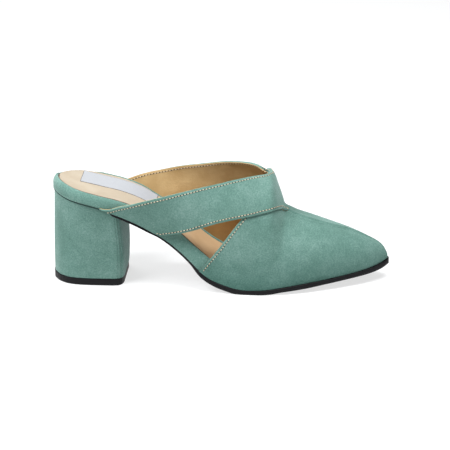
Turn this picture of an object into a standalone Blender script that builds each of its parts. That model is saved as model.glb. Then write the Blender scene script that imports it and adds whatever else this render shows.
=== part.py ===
"""Block heel mule, right shoe: a crossed strap upper on a wrapped block heel.

Sizes are in millimetres, and solid_from turns them into metres. X runs from the heel to the toe,
-Y is the outer (lateral) side of the foot, +Y the inner side, and the floor is Z = 0.
Tables hold shares: along is a share of LENGTH from the heel, widths are shares of HALF_WIDTH and
heights are shares of SEAT_HEIGHT.
"""

import bmesh
import bpy
import numpy as np

# Driving sizes
LENGTH = 245.0
HALF_WIDTH = 37.5
SEAT_HEIGHT = 62.0
WALL = 1.9
GAP = 0.3
OVERLAY = 1.6
JOIN_DEPTH = 1.3
SEAM_RAISE = 0.5
SOLE_EDGE = 1.0
RAND_WALL = 1.5
RAND_LEAN = 2.0
RAND_LIP = 0.9
RAND_END = 14.0
EDGE_CHAMFER = 0.6
TOP_PIECE_HEIGHT = 5.0
TOP_PIECE_MARGIN = 0.5
HEEL_BACK = -122.4
HEEL_BREAST = -70.4
THROAT = 36.0
SEAM_START = 48.0
TOE_TIP = 122.3
OUTER_REAR = -14.0
INNER_REAR = -22.0
INNER_CORNER = 5.0
STRAP_END = -85.0
STRAP_LIFT = -46.0

# The line of the insole board seen from above: half widths to the outer and the inner side
BED_LINE = {
    "columns": ("along", "outer", "inner"),
    "rows": (
        (0.0037, 0.000, 0.000),
        (0.0078, 0.176, 0.176),
        (0.0224, 0.368, 0.368),
        (0.0429, 0.528, 0.528),
        (0.0755, 0.677, 0.677),
        (0.1122, 0.747, 0.747),
        (0.1735, 0.773, 0.768),
        (0.2551, 0.755, 0.725),
        (0.3163, 0.736, 0.656),
        (0.3776, 0.741, 0.597),
        (0.4388, 0.789, 0.573),
        (0.5000, 0.864, 0.619),
        (0.5612, 0.923, 0.720),
        (0.6224, 0.933, 0.853),
        (0.6837, 0.885, 0.931),
        (0.7449, 0.779, 0.896),
        (0.8061, 0.624, 0.773),
        (0.8673, 0.437, 0.613),
        (0.9082, 0.293, 0.501),
        (0.9490, 0.115, 0.373),
        (0.9714, -0.011, 0.291),
        (0.9841, -0.091, 0.229),
        (0.9906, -0.160, 0.160),
    ),
}

# Side profile: top and underside of the outsole, and the top of the insole
SOLE_PROFILE = {
    "columns": ("along", "bed", "under", "insole"),
    "rows": (
        (0.0020, 1.1065, 1.0839, 1.2387),
        (0.0510, 1.0597, 1.0379, 1.1912),
        (0.1122, 1.0145, 0.9919, 1.1371),
        (0.1531, 0.9748, 0.9532, 1.1000),
        (0.1939, 0.9160, 0.8935, 1.0629),
        (0.2306, 0.8537, 0.8306, 1.0164),
        (0.2633, 0.7924, 0.7677, 0.9613),
        (0.2959, 0.7199, 0.6952, 0.8889),
        (0.3245, 0.6526, 0.6250, 0.8214),
        (0.3531, 0.5769, 0.5435, 0.7532),
        (0.3857, 0.4677, 0.4323, 0.6645),
        (0.4159, 0.3540, 0.3130, 0.5583),
        (0.4429, 0.2440, 0.1840, 0.4677),
        (0.4673, 0.1730, 0.1160, 0.3887),
        (0.4918, 0.1300, 0.0690, 0.3204),
        (0.5204, 0.0940, 0.0320, 0.2530),
        (0.5490, 0.0664, 0.0048, 0.2022),
        (0.5816, 0.0516, 0.0000, 0.1631),
        (0.6143, 0.0539, 0.0000, 0.1440),
        (0.6469, 0.0631, 0.0073, 0.1388),
        (0.6878, 0.0840, 0.0306, 0.1469),
        (0.7449, 0.1087, 0.0500, 0.1676),
        (0.8184, 0.1326, 0.0790, 0.1967),
        (0.8918, 0.1590, 0.1030, 0.2211),
        (0.9490, 0.1840, 0.1225, 0.2470),
        (0.9816, 0.2110, 0.1440, 0.2742),
        (1.0000, 0.2420, 0.1720, 0.2984),
    ),
}

# Cross sections of the last: ridge height, squareness, and how far each side leans out above its edge
LAST_SECTIONS = {
    "columns": ("along", "ridge", "square", "lean_outer", "lean_inner"),
    "rows": (
        (0.1490, 1.8065, 4.00, 0.107, 0.107),
        (0.1816, 1.8065, 4.00, 0.160, 0.165),
        (0.2143, 1.8065, 4.00, 0.211, 0.224),
        (0.2551, 1.8065, 4.00, 0.243, 0.277),
        (0.2959, 1.7959, 4.00, 0.240, 0.301),
        (0.3367, 1.7742, 4.00, 0.213, 0.320),
        (0.3776, 1.7430, 4.00, 0.184, 0.331),
        (0.4184, 1.7016, 4.00, 0.133, 0.325),
        (0.4592, 1.6547, 3.90, 0.069, 0.309),
        (0.5000, 1.5968, 3.70, 0.035, 0.277),
        (0.5408, 1.5161, 3.40, 0.011, 0.237),
        (0.5816, 1.4339, 3.00, 0.011, 0.176),
        (0.6020, 1.3920, 2.77, 0.011, 0.133),
        (0.6224, 1.3500, 2.60, 0.012, 0.091),
        (0.6347, 1.3260, 2.56, 0.013, 0.071),
        (0.6469, 1.3000, 2.53, 0.014, 0.052),
        (0.6551, 1.2419, 2.52, 0.015, 0.043),
        (0.6633, 1.1435, 2.50, 0.016, 0.037),
        (0.6714, 1.0548, 2.48, 0.018, 0.034),
        (0.6796, 0.9790, 2.46, 0.020, 0.031),
        (0.6878, 0.9160, 2.44, 0.023, 0.029),
        (0.6959, 0.8860, 2.42, 0.026, 0.027),
        (0.7041, 0.8726, 2.40, 0.027, 0.027),
        (0.7286, 0.8274, 2.37, 0.027, 0.026),
        (0.7653, 0.7774, 2.33, 0.026, 0.025),
        (0.8224, 0.6968, 2.30, 0.026, 0.024),
        (0.8837, 0.6145, 2.27, 0.024, 0.023),
        (0.9437, 0.5016, 2.23, 0.022, 0.022),
        (0.9678, 0.4435, 2.22, 0.018, 0.018),
        (0.9857, 0.3823, 2.21, 0.012, 0.012),
        (0.9959, 0.3145, 2.20, 0.009, 0.009),
        (1.0000, 0.2740, 2.20, 0.008, 0.008),
    ),
}

# The line of the instep ridge seen from above, and the seam that meets it towards the toe
RIDGE_LINE = {
    "columns": ("along", "ridge", "seam"),
    "rows": (
        (0.6400, 0.000, 0.000),
        (0.6700, 0.000, -0.080),
        (0.6959, 0.003, -0.160),
        (0.7449, 0.013, -0.160),
        (0.8061, 0.033, -0.093),
        (0.8673, 0.075, 0.013),
        (0.9286, 0.115, 0.090),
        (0.9694, 0.145, 0.140),
        (1.0000, 0.160, 0.160),
    ),
}

# Edges of the straps seen from the side
STRAP_TOP = {
    "columns": ("along", "outer", "inner"),
    "rows": (
        (0.1531, 0.9935, 0.9935),
        (0.1816, 0.9935, 0.9968),
        (0.2143, 1.0242, 1.0355),
        (0.2551, 1.0742, 1.0855),
        (0.2959, 1.1210, 1.1258),
        (0.3367, 1.1613, 1.1661),
        (0.3776, 1.2016, 1.2065),
        (0.4184, 1.2371, 1.2371),
        (0.4592, 1.2694, 1.2694),
        (0.5000, 1.2968, 1.3032),
        (0.5408, 1.3161, 1.3323),
        (0.5816, 1.3242, 1.3500),
        (0.6020, 1.3210, 1.3560),
        (0.6224, 1.3129, 1.3430),
        (0.6347, 1.3081, 1.3200),
    ),
}
STRAP_LOW = {
    "columns": ("along", "outer", "inner"),
    "rows": (
        (0.3286, 0.6629, 0.6629),
        (0.3437, 0.6758, 0.6758),
        (0.3882, 0.7161, 0.7161),
        (0.4469, 0.7871, 0.7871),
        (0.5057, 0.8661, 0.8661),
        (0.5624, 0.9145, 0.9145),
        (0.6049, 0.9403, 0.9403),
        (0.6331, 0.9597, 0.9597),
        (0.6576, 0.9710, 0.9710),
        (0.6694, 0.9548, 0.9548),
        (0.6816, 0.9226, 0.9226),
    ),
}

# Rear edges of the vamp's two halves seen from the side, up to the throat
OUTER_REAR_EDGE = {
    "columns": ("along", "outer"),
    "rows": (
        (0.4608, 0.3435),
        (0.4812, 0.4500),
        (0.5057, 0.5790),
        (0.5278, 0.7032),
        (0.5522, 0.8339),
        (0.5706, 0.9210),
        (0.6020, 1.0726),
        (0.6286, 1.2097),
    ),
}
INNER_REAR_EDGE = {
    "columns": ("along", "inner"),
    "rows": (
        (0.4347, 0.5000),
        (0.4735, 0.6774),
        (0.5204, 0.8597),
        (0.5612, 0.9968),
        (0.5980, 1.1210),
        (0.6265, 1.2258),
    ),
}

# The heel seen from above: share of its length from the back, half widths at the floor and the seat
HEEL_OUTLINE = {
    "columns": ("share", "floor", "seat"),
    "rows": (
        (0.000, 0.010, 0.010),
        (0.010, 0.147, 0.133),
        (0.036, 0.237, 0.237),
        (0.096, 0.381, 0.379),
        (0.150, 0.461, 0.464),
        (0.260, 0.560, 0.597),
        (0.410, 0.608, 0.699),
        (0.620, 0.624, 0.741),
        (0.830, 0.624, 0.752),
        (0.925, 0.608, 0.741),
        (0.965, 0.565, 0.704),
        (0.990, 0.496, 0.640),
        (1.000, 0.400, 0.560),
    ),
}

# The heel's side profile: how far the back and the breast stand forward of their lines at the floor
HEEL_SIDE = {
    "columns": ("height", "back", "breast"),
    "rows": (
        (0.00, 0.0, 0.0),
        (0.16, -0.1, 1.2),
        (0.38, 0.0, 1.6),
        (0.62, 0.4, 0.9),
        (0.80, 0.8, 0.0),
        (1.05, 1.3, -0.3),
    ),
}

SUEDE = ("suede", (0.205, 0.330, 0.292, 1.0), 0.92)
BLACK = ("black sole", (0.018, 0.018, 0.020, 1.0), 0.45)
LINING = ("lining leather", (0.560, 0.420, 0.250, 1.0), 0.60)


def column(table, name):
    return np.array([row[table["columns"].index(name)] for row in table["rows"]], float)


def smooth(x, xs, ys):
    """Monotone cubic through the points (xs, ys)."""
    step = np.diff(xs)
    slope = np.diff(ys) / step
    tangent = np.zeros(len(xs))
    tangent[0] = slope[0]
    tangent[-1] = slope[-1]
    for i in range(1, len(xs) - 1):
        if slope[i - 1] * slope[i] > 0:
            before = 2 * step[i] + step[i - 1]
            after = step[i] + 2 * step[i - 1]
            tangent[i] = (before + after) / (before / slope[i - 1] + after / slope[i])
    x = np.clip(np.asarray(x, float), xs[0], xs[-1])
    i = np.clip(np.searchsorted(xs, x) - 1, 0, len(xs) - 2)
    t = (x - xs[i]) / step[i]
    start = (2 * t**3 - 3 * t**2 + 1) * ys[i] + (t**3 - 2 * t**2 + t) * step[i] * tangent[i]
    end = (3 * t**2 - 2 * t**3) * ys[i + 1] + (t**3 - t**2) * step[i] * tangent[i + 1]
    return start + end


def ease(x, start, end):
    t = np.clip((np.asarray(x, float) - start) / (end - start), 0.0, 1.0)
    return t * t * (3 - 2 * t)


def at_share(along):
    return (np.asarray(along, float) - 0.5) * LENGTH


def share_at(x):
    return np.asarray(x, float) / LENGTH + 0.5


def profile(name, x):
    return SEAT_HEIGHT * smooth(share_at(x), column(SOLE_PROFILE, "along"), column(SOLE_PROFILE, name))


def section(name, x):
    return smooth(share_at(x), column(LAST_SECTIONS, "along"), column(LAST_SECTIONS, name))


def crowded(start, end, count):
    """Values from start to end, closer together towards both ends."""
    return start + (end - start) * (1 - np.cos(np.linspace(0, np.pi, count))) / 2


def bed_loop():
    """Points of the bed line on the outer and the inner side, each from heel to toe."""
    along = column(BED_LINE, "along")
    turn = np.arccos(1 - 2 * (along - along[0]) / (along[-1] - along[0]))
    fine = np.linspace(0, np.pi, 240)
    x = at_share(along[0] + (along[-1] - along[0]) * (1 - np.cos(fine)) / 2)
    outer = -HALF_WIDTH * smooth(fine, turn, column(BED_LINE, "outer"))
    inner = HALF_WIDTH * smooth(fine, turn, column(BED_LINE, "inner"))
    return np.stack([x, outer], 1), np.stack([x, inner], 1)


def grown(by):
    """The bed line moved outwards by by(x): x and y of its outer side, then of its inner side."""
    sides = []
    for line, side in zip(bed_loop(), (-1, 1)):
        run = np.gradient(line, axis=0)
        run[0] = (0, side)
        run[-1] = (0, -side)
        run /= np.linalg.norm(run, axis=1)[:, None]
        out = np.stack([-run[:, 1], run[:, 0]], 1) * side
        sides.append(line + out * np.asarray(by(line[:, 0]))[:, None])
    return sides


def half_width(lines, x, side):
    """Distance from Y = 0 to one of two grown lines, at x."""
    line = lines[0] if side < 0 else lines[1]
    return side * np.interp(x, line[:, 0], line[:, 1])


def under_upper(x):
    """1 where the wall of the upper stands outside the bed line, 0 where only the rand does."""
    strap = ease(x, STRAP_END, STRAP_END + 10) * (1 - ease(x, STRAP_LIFT - 6, STRAP_LIFT + 4))
    return np.maximum(strap, ease(x, OUTER_REAR - 8, OUTER_REAR + 6))


FOOT_LINES = grown(lambda x: np.full_like(x, GAP + WALL))


def ridge_y(name, x):
    return HALF_WIDTH * smooth(share_at(x), column(RIDGE_LINE, "along"), column(RIDGE_LINE, name))


def foot_height(x):
    return profile("bed", x) + GAP


def surface(x, turn):
    """Outer face of the upper. turn is -1 at the outer edge, 0 on the ridge and 1 at the inner edge."""
    x = np.asarray(x, float)
    turn = np.asarray(turn, float)
    side = np.where(turn < 0, -1.0, 1.0)
    share = np.sin((1 - np.abs(turn)) * np.pi / 2)
    foot = foot_height(x)
    height = section("ridge", x) * SEAT_HEIGHT - foot
    centre = ridge_y("ridge", x)
    edge = np.where(side < 0, half_width(FOOT_LINES, x, -1), half_width(FOOT_LINES, x, 1))
    edge = np.maximum(edge - side * centre, 0.02)
    lean = HALF_WIDTH * np.where(side < 0, section("lean_outer", x), section("lean_inner", x))
    reach = edge + lean * (1 - (1 - share) ** 3)
    around = np.sqrt(np.maximum(1 - np.maximum(share, 0.0) ** section("square", x), 0.0))
    return np.stack([x, centre + side * reach * around, foot + height * share], -1)


def outward(x, turn):
    """Unit normals of the surface."""
    step = np.clip((TOE_TIP - x) / 2, 0.002, 0.4)
    tip = 1e-3
    low = np.clip(turn - tip, -1, 1)
    high = np.clip(turn + tip, -1, 1)
    run = surface(np.minimum(x + step, TOE_TIP), turn) - surface(x - step, turn)
    across = surface(x, high) - surface(x, low)
    normal = np.cross(run, across)
    normal /= np.maximum(np.linalg.norm(normal, axis=-1), 1e-9)[..., None]
    normal[x > TOE_TIP - 0.01] = (1.0, 0.0, 0.0)
    return normal


def turn_at_height(x, height, side):
    foot = foot_height(x)
    share = (height - foot) / (section("ridge", x) * SEAT_HEIGHT - foot)
    return side * (1 - np.arcsin(np.clip(share, 0.0, 1.0)) * 2 / np.pi)


def seam_turn(x):
    """Turn of the centre seam at x, found by halving."""
    target = ridge_y("seam", x)
    low = np.full_like(target, -0.6)
    high = np.zeros_like(target)
    for _ in range(40):
        middle = (low + high) / 2
        below = surface(x, middle)[..., 1] < target
        low = np.where(below, middle, low)
        high = np.where(below, high, middle)
    return np.where(x >= TOE_TIP - 0.5, 0.0, (low + high) / 2)


def along_edge(table, side, first, last):
    """Fine points (x, turn) of an edge drawn in a side view, with its two end points given."""
    x = at_share(column(table, "along"))
    height = SEAT_HEIGHT * column(table, "outer" if side < 0 else "inner")
    fine = np.linspace(x[0], x[-1], 60)
    points = np.stack([fine, turn_at_height(fine, smooth(fine, x, height), side)], 1)
    ends = [np.array([end]) for end in (first, last)]
    return np.concatenate([ends[0], points, ends[1]])


def spread(line, shares):
    """Points of a line of (x, turn) at these shares of its length over the surface."""
    solid = surface(line[:, 0], line[:, 1])
    run = np.concatenate([[0], np.cumsum(np.linalg.norm(np.diff(solid, axis=0), axis=1))])
    run /= run[-1]
    return np.stack([np.interp(shares, run, line[:, k]) for k in (0, 1)], 1)


def patch(left, right, low, high, up_shares, along_shares=None):
    """Coons patch of (x, turn): low and high run from left to right, left and right from low to high."""
    u = np.linspace(0, 1, len(low)) if along_shares is None else along_shares
    u = u[:, None, None]
    v = np.asarray(up_shares)[None, :, None]
    rails = (1 - v) * low[:, None] + v * high[:, None]
    ribs = (1 - u) * left[None] + u * right[None]
    corners = (1 - u) * (1 - v) * low[0] + (1 - u) * v * high[0]
    corners = corners + u * (1 - v) * low[-1] + u * v * high[-1]
    return rails + ribs - corners


def travelled(low, high):
    """Share of the way that the middle of low and high has gone along X, point by point."""
    run = low[:, 0] + high[:, 0]
    return (run - run[0]) / (run[-1] - run[0])


def straight(first, last, shares):
    return np.array(first) + (np.array(last) - np.array(first)) * np.asarray(shares)[:, None]


def material(look):
    name, colour, roughness = look
    made = bpy.data.materials.get(name) or bpy.data.materials.new(name)
    made.use_nodes = True
    shader = made.node_tree.nodes["Principled BSDF"]
    shader.inputs["Base Color"].default_value = colour
    shader.inputs["Roughness"].default_value = roughness
    shader.inputs["Metallic"].default_value = 0.0
    return made


def solid_from(name, points, faces, look, helper=False):
    """One object from points in millimetres, with coincident points merged and normals outwards."""
    mesh = bpy.data.meshes.new(name)
    mesh.from_pydata((np.asarray(points) / 1000).tolist(), [], faces)
    made = bmesh.new()
    made.from_mesh(mesh)
    bmesh.ops.remove_doubles(made, verts=made.verts, dist=1e-6)
    bmesh.ops.recalc_face_normals(made, faces=made.faces)
    made.to_mesh(mesh)
    made.free()
    mesh.shade_smooth()
    mesh.materials.append(material(look))
    obj = bpy.data.objects.new(name, mesh)
    bpy.context.scene.collection.objects.link(obj)
    if helper:
        obj.hide_render = True
        obj.display_type = "WIRE"
    return obj


def loft(name, rings, look):
    """Closed solid through rings of equal length, capped at both ends."""
    rings = np.asarray(rings)
    count, around = rings.shape[:2]
    faces = []
    for i in range(count - 1):
        for j in range(around):
            k = (j + 1) % around
            faces.append((i * around + j, i * around + k, (i + 1) * around + k, (i + 1) * around + j))
    faces.append(tuple(range(around))[::-1])
    faces.append(tuple((count - 1) * around + j for j in range(around)))
    return solid_from(name, rings.reshape(-1, 3), faces, look)


def shell(name, patches, look, helper=False):
    """Closed wall through patches of (x, turn, inner offset, outer offset) that share border points."""
    index = {}
    rows = []
    quads = []
    for grid in patches:
        first = len(quads)
        keys = np.empty(grid.shape[:2], int)
        for i in range(grid.shape[0]):
            for j in range(grid.shape[1]):
                if grid[i, j, 0] > TOE_TIP - 0.001:
                    grid[i, j, 1] = 0.0
                key = (round(grid[i, j, 0], 4), round(grid[i, j, 1], 5))
                if key not in index:
                    index[key] = len(rows)
                    rows.append(grid[i, j])
                keys[i, j] = index[key]
        for i in range(grid.shape[0] - 1):
            for j in range(grid.shape[1] - 1):
                quad = [keys[i, j], keys[i + 1, j], keys[i + 1, j + 1], keys[i, j + 1]]
                quad = [v for k, v in enumerate(quad) if v != quad[k - 1]]
                if len(quad) > 2:
                    quads.append(quad)
        if not faces_out(quads[first], rows):
            quads[first:] = [quad[::-1] for quad in quads[first:]]
    rows = np.array(rows)
    base = surface(rows[:, 0], rows[:, 1])
    normal = outward(rows[:, 0], rows[:, 1])
    outer = base + normal * rows[:, 3:4]
    inner = base + normal * rows[:, 2:3]
    count = len(rows)
    uses = {}
    for quad in quads:
        for a, b in zip(quad, quad[1:] + quad[:1]):
            uses[(a, b)] = uses.get((a, b), 0) + 1
    faces = list(quads)
    faces += [[v + count for v in quad[::-1]] for quad in quads]
    faces += [[b, a, a + count, b + count] for a, b in uses if (b, a) not in uses]
    return solid_from(name, np.concatenate([outer, inner]), faces, look, helper)


def faces_out(quad, rows):
    """Whether this face of (x, turn, ...) rows looks along the surface's normal."""
    corners = np.array([rows[v][:2] for v in quad])
    points = surface(corners[:, 0], corners[:, 1])
    face = np.cross(points[1] - points[0], points[2] - points[0])
    return face @ outward(corners[:1, 0], corners[:1, 1])[0] > 0


def with_offsets(grid, inner, outer):
    inner = np.broadcast_to(inner, grid.shape[:2])
    outer = np.broadcast_to(outer, grid.shape[:2])
    return np.dstack([grid, inner, outer])


def strap_lines(side):
    """Low and top edge of a strap from its end on the sole to the ridge, as fine points (x, turn)."""
    foot = np.linspace(STRAP_END, STRAP_LIFT, 40)
    low = along_edge(STRAP_LOW, side, (STRAP_LIFT, side), (SEAM_START, 0.0))
    low = np.concatenate([np.stack([foot, np.full(40, side)], 1), low[1:]])
    top = along_edge(STRAP_TOP, side, (STRAP_END, side * 0.985), (THROAT, 0.0))
    return low, top


ACROSS_STRAP = 8
UP_VAMP = 13
REAR_ROWS = 4
INNER_CORNER_SHARE = 0.28
SEAM_ROWS = (0.955, 0.982)


def vamp_rows():
    body = np.linspace(0, 0.91, UP_VAMP - len(SEAM_ROWS)) ** 0.92
    return np.concatenate([body, SEAM_ROWS, [1.0]])


def upper_patches():
    """The wall of one layer: both halves of the vamp and the strap that passes under the other."""
    crest_x = np.linspace(THROAT, SEAM_START, ACROSS_STRAP + 1)
    crest = np.stack([crest_x, seam_turn(crest_x)], 1)
    crest[0, 1] = 0.0
    seam_x = np.linspace(SEAM_START, TOE_TIP, 200)
    seam_line = np.stack([seam_x, seam_turn(seam_x)], 1)
    seam = spread(seam_line, 1 - (1 - np.linspace(0, 1, 29)) ** 1.35)
    rise = vamp_rows()

    rear = along_edge(OUTER_REAR_EDGE, -1, (OUTER_REAR, -1.0), (THROAT, 0.0))
    left = spread(rear, rise)
    top = np.concatenate([crest, seam[1:]])
    foot_x = spread(np.stack([np.linspace(OUTER_REAR, TOE_TIP, 300), np.full(300, -1.0)], 1),
                    1 - (1 - np.linspace(0, 1, len(top))) ** 1.4)
    right = straight(foot_x[-1], top[-1], rise)
    outer_half = patch(left, right, foot_x, top, rise, travelled(foot_x, top))

    low, high = strap_lines(1)
    corner = (INNER_CORNER, float(turn_at_height(np.array([INNER_CORNER]), inner_corner_height(), 1)[0]))
    low = low[low[:, 0] < SEAM_START - 0.5]
    low = np.concatenate([low, crest[-1:]])
    front = low[low[:, 0] > INNER_CORNER]
    front = np.concatenate([[corner], front])
    back = np.concatenate([low[low[:, 0] < INNER_CORNER], [corner]])
    meeting = np.concatenate([np.linspace(0, 0.9, 9), SEAM_ROWS, [1.0]])
    shared = spread(front, meeting)
    behind = spread(back, np.linspace(0, 1, 19))
    strap_low = np.concatenate([behind, shared[1:]])
    strap_high = spread(high, np.linspace(0, 1, len(strap_low)))
    ramp = np.linspace(0, 1, ACROSS_STRAP + 1)
    under_strap = patch(straight(strap_low[0], strap_high[0], ramp), crest[::-1], strap_low, strap_high, ramp)

    rear = along_edge(INNER_REAR_EDGE, 1, (INNER_REAR, 1.0), (THROAT, 0.0))
    rear = np.concatenate([rear[rear[:, 0] < INNER_CORNER], [corner]])
    left = np.concatenate([spread(rear, np.linspace(0, 1, REAR_ROWS + 1)), shared[1:]])
    rise = np.concatenate([np.linspace(0, INNER_CORNER_SHARE, REAR_ROWS + 1)[:-1],
                           INNER_CORNER_SHARE + (1 - INNER_CORNER_SHARE) * meeting])
    foot_x = spread(np.stack([np.linspace(INNER_REAR, TOE_TIP, 300), np.full(300, 1.0)], 1),
                    1 - (1 - np.linspace(0, 1, len(seam))) ** 1.4)
    right = straight(foot_x[-1], seam[-1], rise)
    inner_half = patch(left, right, foot_x, seam, rise, travelled(foot_x, seam))

    raised = []
    for grid, fade in ((outer_half, ACROSS_STRAP), (inner_half, 0)):
        strength = ease(np.arange(len(grid)), fade, fade + 2)
        bead = np.zeros(grid.shape[1])
        bead[-3:] = (0.3 * SEAM_RAISE, SEAM_RAISE, 0.0)
        raised.append(with_offsets(grid, -WALL, strength[:, None] * bead[None]))
    return raised[0], with_offsets(under_strap, -WALL, 0.0), raised[1]


def inner_corner_height():
    """Height at which the strap's low edge meets the inner half of the vamp."""
    x = at_share(column(STRAP_LOW, "along"))
    return SEAT_HEIGHT * smooth(np.array([INNER_CORNER]), x, column(STRAP_LOW, "inner"))


def over_patch():
    """The strap that passes over the other and goes on as the inner half of the vamp."""
    low, high = strap_lines(-1)
    low = low[low[:, 0] < SEAM_START - 3.0]
    start = (SEAM_START + 0.6, float(seam_turn(np.array([SEAM_START + 0.6]))[0]))
    low = np.concatenate([low, [start]])
    rear = along_edge(INNER_REAR_EDGE, 1, (INNER_REAR, 1.0), (THROAT, 0.0))[::-1]
    rear = rear[(rear[:, 0] > INNER_CORNER - 3.0) & (rear[:, 0] < THROAT)] + (0.3, 0.0)
    hidden = strap_lines(1)[0][::-1]
    hidden = hidden[(hidden[:, 0] > INNER_CORNER + 4) & (hidden[:, 0] < SEAM_START - 4)]
    hidden = hidden + np.stack([ease(-hidden[:, 0], -44, -30) * 2.0, np.full(len(hidden), 0.07)], 1)
    hidden = np.concatenate([[(SEAM_START + 1.6, 0.06)], hidden])
    outside = 36
    inside = 19
    before = 1 - (1 - np.linspace(0, 1, outside)) ** 1.4
    after = np.linspace(0, 1, inside) ** 1.4
    low_points = np.concatenate([spread(low, before), spread(np.concatenate([[start], hidden]), after)[1:]])
    high_points = np.concatenate([spread(high, before), spread(np.concatenate([high[-1:], rear]), after)[1:]])
    ramp = np.linspace(0, 1, ACROSS_STRAP + 1)
    grid = patch(straight(low_points[0], high_points[0], ramp), straight(low_points[-1], high_points[-1], ramp),
                 low_points, high_points, ramp)
    lift = OVERLAY * np.where(grid[..., 1] < 0, ease(grid[..., 0], -10, 12), 1.0)
    past = np.clip((np.arange(len(grid)) - outside + 1) / 2.0, 0, 1)[:, None]
    near_low = 1 - ease(ramp, 0.0, 0.5)[None]
    near_end = np.clip((np.arange(len(grid)) - (len(grid) - 3)) / 2.0, 0, 1)[:, None]
    dive = np.maximum(past * near_low, near_end)
    outer = lift * (1 - dive) - 0.6 * dive
    over = lift / OVERLAY
    depth = np.where(grid[..., 1] > 0, WALL + 0.3, JOIN_DEPTH)
    inner = (-WALL * (1 - over) - depth * over) * (1 - dive) - 1.5 * dive
    return with_offsets(grid, inner, outer)


def build_upper():
    base = shell("upper", upper_patches(), SUEDE)
    over = shell("over_strap_helper", [over_patch()], SUEDE, helper=True)
    join = base.modifiers.new("join straps", "BOOLEAN")
    join.operation = "UNION"
    join.solver = "EXACT"
    join.object = over
    return base


def ends_of(lines, inset=0.02):
    return min(line[0, 0] for line in lines) + inset, max(line[-1, 0] for line in lines) - inset


def build_outsole():
    lines = grown(lambda x: (WALL + GAP) * under_upper(x) + SOLE_EDGE * (ease(x, 10, 50) + ease(x, 90, 118)) / 2)
    first, last = ends_of(lines)
    rings = []
    for x in crowded(first, last, 72):
        outer = half_width(lines, x, -1)
        inner = half_width(lines, x, 1)
        top = float(profile("bed", x))
        low = float(profile("under", x))
        cut = min(EDGE_CHAMFER, (outer + inner) / 4)
        rings.append((
            (x, -outer, top),
            (x, inner, top),
            (x, inner, low + EDGE_CHAMFER),
            (x, inner - cut, low),
            (x, -outer + cut, low),
            (x, -outer, low + EDGE_CHAMFER),
        ))
    return loft("outsole", rings, BLACK)


def build_insole():
    def inset(x):
        return 0.1 + (RAND_WALL + GAP) * (1 - ease(x, RAND_END + 0.5, RAND_END + 3))

    foot = grown(lambda x: -inset(x))
    rim = grown(lambda x: -inset(x) - RAND_LEAN * (1 - ease(x, 0, RAND_END)))
    rings = []
    for k in np.linspace(3, len(foot[0]) - 4, 60).astype(int):
        ring = [(*line[k], float(foot_height(line[k, 0]))) for line in foot]
        for share in (1.0, 0.75, 0.5, 0.25, 0.0):
            x, y = rim[0][k] * (1 - share) + rim[1][k] * share
            dish = 0.5 * min(1.0, float(rim[1][k, 1] - rim[0][k, 1]) / 50)
            ring.append((x, y, float(profile("insole", x)) - dish * (1 - (2 * share - 1) ** 2)))
        rings.append(ring)
    return loft("insole", rings, LINING)


def rand_path():
    """Points of the bed line from the outer end of the rand round the heel to its inner end, with normals."""
    outer, inner = bed_loop()
    path = np.concatenate([outer[::-1], inner[1:]])
    path = path[path[:, 0] < RAND_END]
    run = np.concatenate([[0], np.cumsum(np.linalg.norm(np.diff(path, axis=0), axis=1))])
    stops = np.linspace(0, run[-1], 76)
    path = np.stack([np.interp(stops, run, path[:, k]) for k in (0, 1)], 1)
    tangent = np.gradient(path, axis=0)
    tangent /= np.linalg.norm(tangent, axis=1)[:, None]
    return path, np.stack([tangent[:, 1], -tangent[:, 0]], 1) * -1


def build_rand():
    path, out = rand_path()
    rings = []
    for (x, y), normal in zip(path, out):
        low = float(foot_height(x))
        top = float(profile("insole", x)) + RAND_LIP
        lean = RAND_LEAN * (1 - float(ease(x, 0, RAND_END)))
        tall = top - low
        shape = (
            (0.0, 0.0),
            (-0.15 * lean, 0.45 * tall),
            (-0.55 * lean, 0.78 * tall),
            (-lean - 0.3, 0.96 * tall),
            (-lean - 0.6 * RAND_WALL, tall),
            (-lean - RAND_WALL, 0.95 * tall),
            (-RAND_WALL, 0.0),
        )
        rings.append([(x + normal[0] * step, y + normal[1] * step, low + rise) for step, rise in shape])
    return loft("rand", rings, SUEDE)


def heel_half(x_share, up):
    shares = column(HEEL_OUTLINE, "share")
    floor = HALF_WIDTH * smooth(x_share, shares, column(HEEL_OUTLINE, "floor"))
    seat = HALF_WIDTH * smooth(x_share, shares, column(HEEL_OUTLINE, "seat"))
    return floor + (seat - floor) * up**1.5


def heel_x(share, height):
    heights = SEAT_HEIGHT * column(HEEL_SIDE, "height")
    back = HEEL_BACK + smooth(height, heights, column(HEEL_SIDE, "back"))
    breast = HEEL_BREAST + smooth(height, heights, column(HEEL_SIDE, "breast"))
    return back + (breast - back) * share


def heel_stations():
    back = 0.55 * (1 - np.cos(np.linspace(0, np.pi / 2, 13)))
    front = 0.55 + 0.45 * np.sin(np.linspace(0, np.pi / 2, 12))
    return np.concatenate([back, front[1:]])


def build_heel():
    ups = (0.0, 0.12, 0.3, 0.5, 0.7, 0.86, 0.95, 1.0)
    low = TOP_PIECE_HEIGHT + GAP
    rings = []
    for share in heel_stations():
        seat_x = heel_x(share, SEAT_HEIGHT)
        high = float(profile("under", seat_x)) - GAP
        side = []
        for up in ups:
            height = low + (high - low) * up
            side.append((float(heel_x(share, height)), float(heel_half(share, up)), height))
        ring = [(x, -y, z) for x, y, z in side]
        ring += [(x, y, z) for x, y, z in side[::-1]]
        rings.append(ring)
    return loft("heel_block", rings, SUEDE)


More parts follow.
